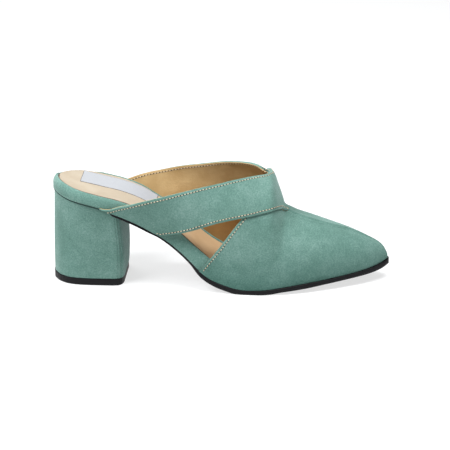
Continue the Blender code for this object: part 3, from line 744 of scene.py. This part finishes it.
def wall(name, grids, materials):
    """Closed wall through grids that share border points. Three quarters of its rim is outer material."""
    index = {}
    rows = []
    quads = []
    for grid in grids:
        keys = np.empty(grid.shape[:2], int)
        for i in range(grid.shape[0]):
            for j in range(grid.shape[1]):
                if grid[i, j, 0] > TOE_TIP - 0.001:
                    grid[i, j, 1] = 0.0
                key = (round(grid[i, j, 0], 4), round(grid[i, j, 1], 5))
                if key not in index:
                    index[key] = len(rows)
                    rows.append(grid[i, j])
                keys[i, j] = index[key]
        first = len(quads)
        for i in range(grid.shape[0] - 1):
            for j in range(grid.shape[1] - 1):
                quad = [keys[i, j], keys[i + 1, j], keys[i + 1, j + 1], keys[i, j + 1]]
                quad = [v for k, v in enumerate(quad) if v != quad[k - 1]]
                if len(quad) > 2:
                    quads.append(quad)
        if not looks_out(quads[first], rows):
            quads[first:] = [quad[::-1] for quad in quads[first:]]
    rows = np.array(rows)
    uses = set()
    for quad in quads:
        uses.update(zip(quad, quad[1:] + quad[:1]))
    rim = [(a, b) for a, b in uses if (b, a) not in uses]
    for v in {v for edge in rim for v in edge}:
        rows[v, 3] -= EDGE_ROUND
        rows[v, 2] += EDGE_ROUND / 2
    outer, inner, _ = placed(rows[None])
    outer = outer[0]
    inner = inner[0]
    count = len(rows)
    points = np.concatenate([outer, inner, 0.25 * outer + 0.75 * inner])
    faces = list(quads)
    slots = [0] * len(quads)
    faces += [[v + count for v in quad[::-1]] for quad in quads]
    slots += [1] * len(quads)
    for a, b in rim:
        faces.append([b, a, a + 2 * count, b + 2 * count])
        faces.append([b + 2 * count, a + 2 * count, a + count, b + count])
        slots += [0, 1]
    used = np.zeros(len(points), bool)
    used[np.concatenate([np.array(face) for face in faces])] = True
    moved = np.cumsum(used) - 1
    faces = [[int(moved[v]) for v in face] for face in faces]
    return mesh_piece(name, points[used], faces, materials, slots)


def looks_out(quad, rows):
    corners = np.array([rows[v][:2] for v in quad])
    points = surface(corners[:, 0], corners[:, 1])
    face = np.cross(points[1] - points[0], points[2] - points[0])
    return face @ outward(corners[:1, 0], corners[:1, 1])[0] > 0


def walked(lines, normals, distance):
    """For each polyline, the point and the normal this far from its start."""
    found = []
    for line, normal in zip(lines, normals):
        run = np.concatenate([[0], np.cumsum(np.linalg.norm(np.diff(line, axis=0), axis=1))])
        point = [np.interp(distance, run, line[:, k]) for k in range(3)]
        found.append(point + [np.interp(distance, run, normal[:, k]) for k in range(3)])
    return np.array(found)


def resampled(line, pitch):
    run = np.concatenate([[0], np.cumsum(np.linalg.norm(np.diff(line[:, :3], axis=0), axis=1))])
    count = max(2, int(run[-1] / pitch))
    stops = np.linspace(0, run[-1], count)
    return np.stack([np.interp(stops, run, line[:, k]) for k in range(line.shape[1])], 1)


def beads(lines, size, shift):
    """Small rounded grains along lines of (point, normal): size is half length, width and height in mm."""
    turns = np.linspace(0, 2 * np.pi, 7)[:-1]
    shape = [(-1.0, 0.0, 0.0)]
    for up, wide in ((-0.7, 0.75), (0.0, 1.0), (0.7, 0.75)):
        shape += [(up, wide * np.cos(turn), wide * np.sin(turn)) for turn in turns]
    shape.append((1.0, 0.0, 0.0))
    shape = np.array(shape) * size
    faces = []
    for j in range(6):
        k = (j + 1) % 6
        faces.append((0, 1 + k, 1 + j))
        for ring in (1, 7):
            faces.append((ring + j, ring + k, ring + 6 + k, ring + 6 + j))
        faces.append((13 + j, 13 + k, 19))
    points = []
    rows = []
    for line in lines:
        spots = resampled(line, STITCH_PITCH)
        along = np.gradient(spots[:, :3], axis=0)
        along /= np.linalg.norm(along, axis=1)[:, None]
        normal = spots[:, 3:] / np.linalg.norm(spots[:, 3:], axis=1)[:, None]
        side = np.cross(normal, along)
        middle = spots[:, :3] + along * STITCH_PITCH * shift
        for m, a, s, n in zip(middle, along, side, normal):
            rows += [tuple(v + len(points) for v in face) for face in faces]
            points += list(m + shape[:, :1] * a + shape[:, 1:2] * s + shape[:, 2:3] * n)
    return points, rows


def sewn(name, lines, thread, hole):
    """A row of stitches, and dark beads between them as painted shade in the stitch holes."""
    points, faces = beads(lines, (STITCH_LONG / 2, STITCH_WIDE / 2, 0.30), 0.0)
    ride(mesh_piece(name, points, faces, [thread], smooth_angle=180), "lining_leather")
    points, faces = beads(lines, (0.48, 0.46, 0.14), 0.5)
    ride(mesh_piece(name + "_holes", points, faces, [hole], smooth_angle=180), "lining_leather")


def lofted(name, rings, materials, slot_of=None, smooth_angle=50.0):
    """Closed solid through rings of equal length. slot_of gives the material of each strip round a ring."""
    rings = np.asarray(rings)
    count, around = rings.shape[:2]
    faces = []
    slots = []
    for i in range(count - 1):
        for j in range(around):
            k = (j + 1) % around
            faces.append((i * around + j, i * around + k, (i + 1) * around + k, (i + 1) * around + j))
            slots.append(slot_of[j] if slot_of else 0)
    faces.append(tuple(range(around))[::-1])
    faces.append(tuple((count - 1) * around + j for j in range(around)))
    slots += [0, 0]
    return mesh_piece(name, rings.reshape(-1, 3), faces, materials, slots, smooth_angle)


def tube(name, path, radius, material):
    """Closed thin bead along a path of points in millimetres. radius is one size or one for each point."""
    radius = np.broadcast_to(radius, len(path))
    along = np.gradient(path, axis=0)
    along /= np.linalg.norm(along, axis=1)[:, None]
    side = np.cross(along, (0.0, 0.0, 1.0))
    side /= np.linalg.norm(side, axis=1)[:, None]
    up = np.cross(side, along)
    turns = np.linspace(0, 2 * np.pi, 9)[:-1]
    rings = [
        p + r * (np.cos(turns)[:, None] * s + np.sin(turns)[:, None] * u)
        for p, r, s, u in zip(path, radius, side, up)
    ]
    return lofted(name, rings, [material], smooth_angle=180)


def node(tree, kind, links=(), **values):
    """A shader node: values set its properties or its sockets, and links join other sockets to its own."""
    made = tree.nodes.new(kind)
    for key, value in values.items():
        if hasattr(made, key):
            setattr(made, key, value)
        else:
            made.inputs[key.replace("_", " ")].default_value = value
    for socket, source in links:
        tree.links.new(source, made.inputs[socket])
    return made


def new_material(name):
    made = bpy.data.materials.new(name)
    made.use_nodes = True
    tree = made.node_tree
    return made, tree, tree.nodes["Principled BSDF"]


def noise(tree, where, scale, detail, rough=0.55):
    values = {"Scale": scale, "Detail": detail, "Roughness": rough}
    return node(tree, "ShaderNodeTexNoise", [("Vector", where)], **values).outputs["Fac"]


def maths(tree, operation, first, second):
    made = node(tree, "ShaderNodeMath", operation=operation)
    for socket, value in enumerate((first, second)):
        if isinstance(value, (int, float)):
            made.inputs[socket].default_value = value
        else:
            tree.links.new(value, made.inputs[socket])
    return made.outputs["Value"]


def ramp(tree, source, stops):
    made = node(tree, "ShaderNodeValToRGB", [("Fac", source)])
    while len(made.color_ramp.elements) < len(stops):
        made.color_ramp.elements.new(0.5)
    for element, (place, colour) in zip(made.color_ramp.elements, stops):
        element.position = place
        element.color = (*colour, 1.0)
    return made.outputs["Color"]


def bumped(tree, shader, height, strength, distance):
    made = node(tree, "ShaderNodeBump", [("Height", height)], Strength=strength, Distance=distance)
    tree.links.new(made.outputs["Normal"], shader.inputs["Normal"])


def painted_height_shade(tree, shader, where, colour, start, end, low):
    """Gives the shader the colour, multiplied by low at the height start and unchanged from end up. The
    change lower down is painted shade.
    """
    height = node(tree, "ShaderNodeSeparateXYZ", [("Vector", where)]).outputs["Z"]
    shade = node(tree, "ShaderNodeMapRange", [("Value", height)])
    shade.inputs["From Min"].default_value = start
    shade.inputs["From Max"].default_value = end
    tint = ramp(tree, shade.outputs["Result"], [(0.0, low), (1.0, (1.0, 1.0, 1.0))])
    shaded_colour = node(tree, "ShaderNodeVectorMath", [(0, colour), (1, tint)], operation="MULTIPLY")
    tree.links.new(shaded_colour.outputs["Vector"], shader.inputs["Base Color"])


def suede(name, dark, middle, light, low=(1.0, 1.0, 1.0)):
    """Napped suede: clouds of brushed nap, a fine grain and a pale bloom. low darkens it near the floor, as
    painted shade.
    """
    made, tree, shader = new_material(name)
    where = node(tree, "ShaderNodeTexCoord").outputs["Object"]
    clouds = noise(tree, where, 30, 2.0, 0.5)
    brushed = noise(tree, where, 130, 3.0, 0.6)
    grain = noise(tree, where, 1050, 3.0, 0.75)
    soft = maths(tree, "ADD", maths(tree, "MULTIPLY", clouds, 0.36), maths(tree, "MULTIPLY", brushed, 0.20))
    mixed = maths(tree, "ADD", soft, maths(tree, "MULTIPLY", grain, 0.58))
    colour = ramp(tree, mixed, [(0.40, dark), (0.57, middle), (0.73, light)])
    painted_height_shade(tree, shader, where, colour, 0.006, 0.036, low)
    shader.inputs["Roughness"].default_value = 0.95
    shader.inputs["Specular IOR Level"].default_value = 0.12
    shader.inputs["Sheen Weight"].default_value = 0.34
    shader.inputs["Sheen Roughness"].default_value = 0.40
    shader.inputs["Sheen Tint"].default_value = (0.78, 0.92, 0.90, 1.0)
    height = maths(tree, "ADD", grain, maths(tree, "MULTIPLY", brushed, 1.6))
    bumped(tree, shader, height, 0.55, 0.0004)
    return made


def leather(name, dark, light, roughness, grain_size=900, grain=0.25, wrinkles=0.0, deep=(1.0, 1.0, 1.0)):
    """Smooth leather with a fine pebble, faint clouds and drawn wrinkles. deep changes its colour lower down,
    as painted shade inside the shoe.
    """
    made, tree, shader = new_material(name)
    where = node(tree, "ShaderNodeTexCoord").outputs["Object"]
    clouds = noise(tree, where, 70, 3.0)
    colour = ramp(tree, clouds, [(0.35, dark), (0.68, light)])
    painted_height_shade(tree, shader, where, colour, 0.034, 0.062, deep)
    shader.inputs["Roughness"].default_value = roughness
    shader.inputs["Specular IOR Level"].default_value = 0.35
    cells = node(tree, "ShaderNodeTexVoronoi", [("Vector", where)], Scale=grain_size).outputs["Distance"]
    height = cells
    if wrinkles:
        long = node(tree, "ShaderNodeMapping", [("Vector", where)])
        long.inputs["Rotation"].default_value = (0.0, 0.35, 0.0)
        long.inputs["Scale"].default_value = (45.0, 200.0, 330.0)
        drawn = noise(tree, long.outputs["Vector"], 1.0, 2.0)
        height = maths(tree, "ADD", cells, maths(tree, "MULTIPLY", drawn, wrinkles))
    bumped(tree, shader, height, grain, 0.0003)
    return made


def plain(name, colour, roughness, specular=0.4, bump=0.0, mottle=0.2):
    made, tree, shader = new_material(name)
    where = node(tree, "ShaderNodeTexCoord").outputs["Object"]
    fine = noise(tree, where, 700, 2.0)
    dark = tuple(c * (1 - mottle) for c in colour)
    light = tuple(c * (1 + mottle) for c in colour)
    tint = ramp(tree, fine, [(0.3, dark), (0.7, light)])
    tree.links.new(tint, shader.inputs["Base Color"])
    shader.inputs["Roughness"].default_value = roughness
    shader.inputs["Specular IOR Level"].default_value = specular
    if bump:
        bumped(tree, shader, fine, bump, 0.0002)
    return made


TEALS = ((0.068, 0.146, 0.120), (0.110, 0.212, 0.182), (0.180, 0.296, 0.264))
SUEDE = suede("teal suede", *TEALS)
# The upper's suede darkens towards the floor: painted shade on the lower vamp.
SHADED_VAMP_SUEDE = suede("teal suede of the upper with painted low shade", *TEALS, low=(0.56, 0.68, 0.66))
# The lining darkens and reddens lower down: painted shade inside the straps and vamp.
LINING = leather("tan lining", (0.400, 0.262, 0.112), (0.490, 0.340, 0.165), 0.60,
                 wrinkles=1.8, deep=(0.52, 0.40, 0.26))
# The insole turns from pale at the heel to tan lower down towards the front: painted shade where the straps
# shade it.
FOOTBED = leather("pale insole leather", (0.350, 0.292, 0.218), (0.392, 0.338, 0.262), 0.55,
                  1100, 0.12, 0.5, (1.15, 0.92, 0.68))
SOLE = plain("black sole", (0.006, 0.006, 0.007), 0.50, 0.16, 0.12)
EDGE_BROWN = plain("insole edge", (0.100, 0.052, 0.028), 0.6)
THREAD = plain("tan thread", (0.520, 0.430, 0.310), 0.8, 0.2)
# Painted shade in the stitch holes between the stitches.
HOLE_SHADE = plain("painted stitch hole shade", (0.028, 0.036, 0.032), 0.9)
# Painted shadow in the joint between the rand and the heel.
SEAT_SHADOW = plain("painted seat shadow", (0.018, 0.034, 0.029), 0.9, 0.1)
PATCH = plain("plain patch", (0.335, 0.348, 0.370), 0.7, 0.1, mottle=0.03)
# Dark rim round the label: partly its border, partly painted shadow of its edge.
PATCH_BORDER_AND_SHADOW = plain("patch border and shadow", (0.080, 0.075, 0.075), 0.6)


def build_upper():
    outer_half, under_strap, inner_half = upper_patches()
    over = over_patch()
    looks = [SHADED_VAMP_SUEDE, LINING]
    walls = wall("upper_walls", [outer_half.copy(), under_strap.copy(), inner_half.copy()], looks)
    ride(walls, "suede", "upper")
    ride(wall("over_strap", [over.copy()], looks), "suede")
    build_stitches(outer_half, under_strap, inner_half, over)


def build_stitches(outer_half, under_strap, inner_half, over):
    out, _, normal = placed(over)
    reach = OUTSIDE + int(0.5 * INSIDE)
    first = int(np.argmin(np.abs(over[:OUTSIDE, -1, 0] - STRAP_END - 6)))
    top = walked(out[first:reach, ::-1], normal[first:reach, ::-1], STITCH_IN)
    feet = int(np.argmin(np.abs(over[:OUTSIDE, 0, 0] - STRAP_LIFT - 3)))
    low = walked(out[feet:OUTSIDE - 1], normal[feet:OUTSIDE - 1], STITCH_IN)
    tack = resampled(walked(out[OUTSIDE - 2:OUTSIDE, :6], normal[OUTSIDE - 2:OUTSIDE, :6], 0.6), 0.5)
    sewn("over_strap_stitches", [top, low, tack], THREAD, HOLE_SHADE)

    out, _, normal = placed(outer_half)
    rows = [j for j in range(1, UP_VAMP) if outer_half[0, j, 0] < 20]
    rear = walked([out[:, j] for j in rows], [normal[:, j] for j in rows], STITCH_IN)
    sewn("vamp_stitches", [rear], THREAD, HOLE_SHADE)

    out, lining, normal = placed(under_strap)
    reach = len(under_strap) - 4
    first = int(np.argmin(np.abs(under_strap[:, -1, 0] - STRAP_END - 6)))
    top = walked(out[first:reach, ::-1], normal[first:reach, ::-1], STITCH_IN)
    low = walked(out[6:BEHIND], normal[6:BEHIND], STITCH_IN)
    inside = walked(lining[first:reach, ::-1], normal[first:reach, ::-1] * -1, STITCH_IN)
    sewn("under_strap_stitches", [top, low, inside], THREAD, HOLE_SHADE)

    out, _, normal = placed(inner_half)
    rows = range(1, REAR_ROWS)
    rear = walked([out[:, j] for j in rows], [normal[:, j] for j in rows], STITCH_IN)
    sewn("inner_vamp_stitches", [rear], THREAD, HOLE_SHADE)


def build_rand():
    path, out = rand_path()
    stops = np.linspace(0, len(path) - 1, 220)
    path = np.stack([np.interp(stops, np.arange(len(path)), path[:, k]) for k in (0, 1)], 1)
    out = np.stack([np.interp(stops, np.arange(len(out)), out[:, k]) for k in (0, 1)], 1)
    fine = np.linspace(0, 1, 21)
    rings = []
    for (x, y), normal in zip(path, out):
        low = float(foot_height(x)) - GAP
        back = (1 - float(ease(x, -104, -88))) * float(ease(y, -2, 8))
        lip = RAND_LIP - 0.5 * (1 - float(ease(x, -80, -55))) * float(ease(y, 0, 12)) - 1.7 * back
        tall = float(profile("insole", x)) + far_rise(x, y) + lip - low
        lean = RAND_LEAN * (1 - float(ease(x, 0, RAND_END)))
        puff = BAND_PUFF * (1 - float(ease(x, -92, -84)))
        ins = np.array([-0.9 * puff, 0.7 * puff, puff - 0.10 * lean, 0.5 * puff - 0.45 * lean, -lean - 0.2,
                        -lean - 0.6 * RAND_WALL, -lean - RAND_WALL])
        ups = np.array([0.0, 0.10, 0.42, 0.78, 0.97, 1.0, 0.93])
        at = np.linspace(0, 1, len(ins))
        steps = smooth(fine, at, ins)
        rises = smooth(fine, at, ups)
        shape = list(zip(steps, rises)) + [(-RAND_WALL, 0.0)]
        rings.append([(x + normal[0] * s, y + normal[1] * s, low + r * tall) for s, r in shape])
    ride(lofted("rand_cover", rings, [SUEDE]), "suede", "rand")


def build_seat_seam():
    """Painted shadow: a dark line in the joint where the rand meets the wrapped heel."""
    path, out = rand_path()
    near = path[:, 0] < SEAT_END
    path = path[near] + out[near] * 0.12
    size = 0.20 + 0.26 * ease(path[:, 0], -118, -88)
    rise = foot_height(path[:, 0]) - GAP - 0.05
    ride(tube("seat_seam", np.column_stack([path, rise]), size, SEAT_SHADOW), "suede")


def far_rise(x, y):
    """How much the far side of the seat stands above the near side."""
    return FAR_RISE * ease(y, -12, 14) * (1 - ease(x, -50, -20))


def insole_lines():
    def inset(x):
        return 0.1 + (RAND_WALL + GAP) * (1 - ease(x, RAND_END + 0.5, RAND_END + 3))

    foot = grown(lambda x: -inset(x))
    rim = grown(lambda x: -inset(x) - RAND_LEAN * (1 - ease(x, 0, RAND_END)))
    return foot, rim


def insole_height(x, share, wide):
    return profile("insole", x) - 0.5 * np.minimum(1.0, wide / 50) * (1 - (2 * share - 1) ** 2)


def build_insole():
    foot, rim = insole_lines()
    shares = (1 - np.cos(np.linspace(0, np.pi, 17))) / 2
    rings = []
    for k in range(3, len(rim[0]) - 4):
        ring = [(*line[k], float(foot_height(line[k, 0]))) for line in foot]
        wide = rim[1][k, 1] - rim[0][k, 1]
        for share in shares[::-1]:
            x, y = rim[0][k] * (1 - share) + rim[1][k] * share
            ring.append((x, y, float(insole_height(x, share, wide) + far_rise(x, y))))
        rings.append(ring)
    slots = [0, 1] + [0] * 16 + [1]
    ride(lofted("insole_sheet", rings, [FOOTBED, EDGE_BROWN], slots, 35), "lining_leather", "insole")
    loop = rim[0][rim[0][:, 0] < RAND_END - 1]
    rise = profile("insole", loop[:, 0]) + 0.55 + 0.35 * ease(loop[:, 0], -60, -45)
    ride(tube("insole_edge", np.column_stack([loop, rise]), 0.42, EDGE_BROWN), "lining_leather")


def build_patch():
    """The plain label patch, a thin rectangle that follows the insole, and a dark rim round it: partly its
    dark border, partly painted shadow of its raised edge.
    """
    rim = insole_lines()[1]
    for name, grow, lift, look in (("patch_edge", 0.35, 0.16, PATCH_BORDER_AND_SHADOW), ("label_patch", 0.0, 0.24, PATCH)):
        near = PATCH_Y[0] - grow
        far = PATCH_Y[1] + grow
        middle = (PATCH_Y[0] + PATCH_Y[1]) / 2
        rings = []
        for x in np.linspace(PATCH_X[0] - grow, PATCH_X[1] + grow, 30):
            ring = []
            for y, drop in ((near, 0.3), (near, 0), (middle, 0), (far, 0), (far, 0.3)):
                low = float(np.interp(x, rim[0][:, 0], rim[0][:, 1]))
                high = float(np.interp(x, rim[1][:, 0], rim[1][:, 1]))
                share = (y - low) / (high - low)
                rise = float(insole_height(x, share, high - low) + far_rise(x, y))
                ring.append((x, y, rise + lift - drop))
            rings.append(ring)
        ride(lofted(name, rings, [look], smooth_angle=30), "lining_leather")


def build_outsole():
    def by(x):
        edge = SOLE_EDGE * (ease(x, 10, 50) + ease(x, 90, 118)) / 2
        seat = 1 - ease(x, SEAT_END - 1, SEAT_END)
        return ((WALL + GAP) * under_upper(x) + edge) * (1 - seat) - (RAND_WALL + 0.6) * seat

    lines = grown(by)
    first = min(line[0, 0] for line in lines) + 0.02
    last = max(line[-1, 0] for line in lines) - 0.02
    rings = []
    for x in crowded(first, last, 260):
        outer = half_width(lines, x, -1)
        inner = half_width(lines, x, 1)
        top = float(profile("bed", x))
        low = float(profile("under", x))
        cut = min(EDGE_CHAMFER, (outer + inner) / 4)
        soft = 0.35 * cut
        rings.append((
            (x, -outer + soft, top),
            (x, inner - soft, top),
            (x, inner, top - soft),
            (x, inner, low + EDGE_CHAMFER),
            (x, inner - 0.3 * cut, low + 0.3 * EDGE_CHAMFER),
            (x, inner - cut, low),
            (x, -outer + cut, low),
            (x, -outer + 0.3 * cut, low + 0.3 * EDGE_CHAMFER),
            (x, -outer, low + EDGE_CHAMFER),
            (x, -outer, top - soft),
        ))
    ride(lofted("sole_skin", rings, [SOLE], smooth_angle=60), "black_sole", "outsole")


def build_heel():
    """The wrapped heel, with two close seam grooves down its front corner."""
    rear = 0.5 * (1 - np.cos(np.linspace(0, np.pi / 2, 26)))
    front = 0.5 + 0.5 * np.sin(np.linspace(0, np.pi / 2, 90))
    shares = np.concatenate([rear, front[1:]])
    low = TOP_PIECE_HEIGHT + GAP
    rings = []
    for up in np.linspace(0, 1, 36):
        side = []
        for share in shares:
            seat_x = heel_x(share, SEAT_HEIGHT)
            over = 1 - float(ease(seat_x, SEAT_END - 3, SEAT_END))
            high = float(profile("under", seat_x)) - GAP + (SEAT_COVER + 0.35) * over
            height = low + (high - low) * up
            half = float(heel_half(share, up))
            groove = 0.0
            for at, depth in HEEL_GROOVES:
                groove += depth * np.exp(-(((share - at) / HEEL_GROOVE_WIDE) ** 2))
            puff = 0.25 * np.sin(np.pi * up) ** 0.5 * np.sin(9 * share + 5 * up)
            bulge = puff * 0.6 * min(1.0, half / 10)
            side.append((float(heel_x(share, height)), half - groove + bulge, height))
        rings.append([(x, -y, z) for x, y, z in side] + [(x, y, z) for x, y, z in side[::-1]])
    ride(lofted("heel_cover", rings, [SUEDE], smooth_angle=60), "suede", "heel_block")


def build_top_piece():
    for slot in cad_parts["heel_top_piece"].material_slots:
        slot.material = SOLE


def build_stage():
    bpy.ops.mesh.primitive_plane_add(size=6.0, location=(0.0, 0.0, 0.0))
    floor = bpy.context.object
    floor.name = "floor"
    made, _, shader = new_material("white floor")
    shader.inputs["Base Color"].default_value = (0.29, 0.295, 0.30, 1.0)
    shader.inputs["Roughness"].default_value = 0.9
    shader.inputs["Specular IOR Level"].default_value = 0.1
    shader.inputs["Emission Color"].default_value = (1.0, 1.0, 1.0, 1.0)
    shader.inputs["Emission Strength"].default_value = 0.70
    floor.data.materials.append(made)


def build_light():
    world = bpy.data.worlds.new("white room")
    bpy.context.scene.world = world
    world.use_nodes = True
    back = world.node_tree.nodes["Background"]
    back.inputs["Color"].default_value = (1.0, 1.0, 1.0, 1.0)
    back.inputs["Strength"].default_value = 0.30
    for name, place, size, power in LAMPS["rows"]:
        lamp = bpy.data.lights.new(name, "AREA")
        lamp.shape = "DISK"
        lamp.size = size
        lamp.energy = power
        obj = bpy.data.objects.new(name, lamp)
        bpy.context.scene.collection.objects.link(obj)
        obj.location = place
        aim = mathutils.Vector((0.02, 0.0, 0.04)) - obj.location
        obj.rotation_euler = aim.to_track_quat("-Z", "Y").to_euler()
    bpy.context.scene.view_settings.view_transform = "Standard"


def build_camera():
    azimuth = np.radians(CAMERA_AZIMUTH)
    elevation = np.radians(CAMERA_ELEVATION)
    level = np.cos(elevation)
    back = mathutils.Vector((np.sin(azimuth) * level, -np.cos(azimuth) * level, np.sin(elevation)))
    data = bpy.data.cameras.new("camera")
    data.lens = CAMERA_LENS
    data.sensor_width = 36.0
    camera = bpy.data.objects.new("camera", data)
    bpy.context.scene.collection.objects.link(camera)
    camera.location = mathutils.Vector(CAMERA_TARGET) + back * CAMERA_DISTANCE
    camera.rotation_euler = back.to_track_quat("Z", "Y").to_euler()
    bpy.context.scene.camera = camera


build_camera()
build_stage()
build_light()
build_outsole()
build_top_piece()
build_heel()
build_rand()
build_seat_seam()
build_insole()
build_patch()
build_upper()
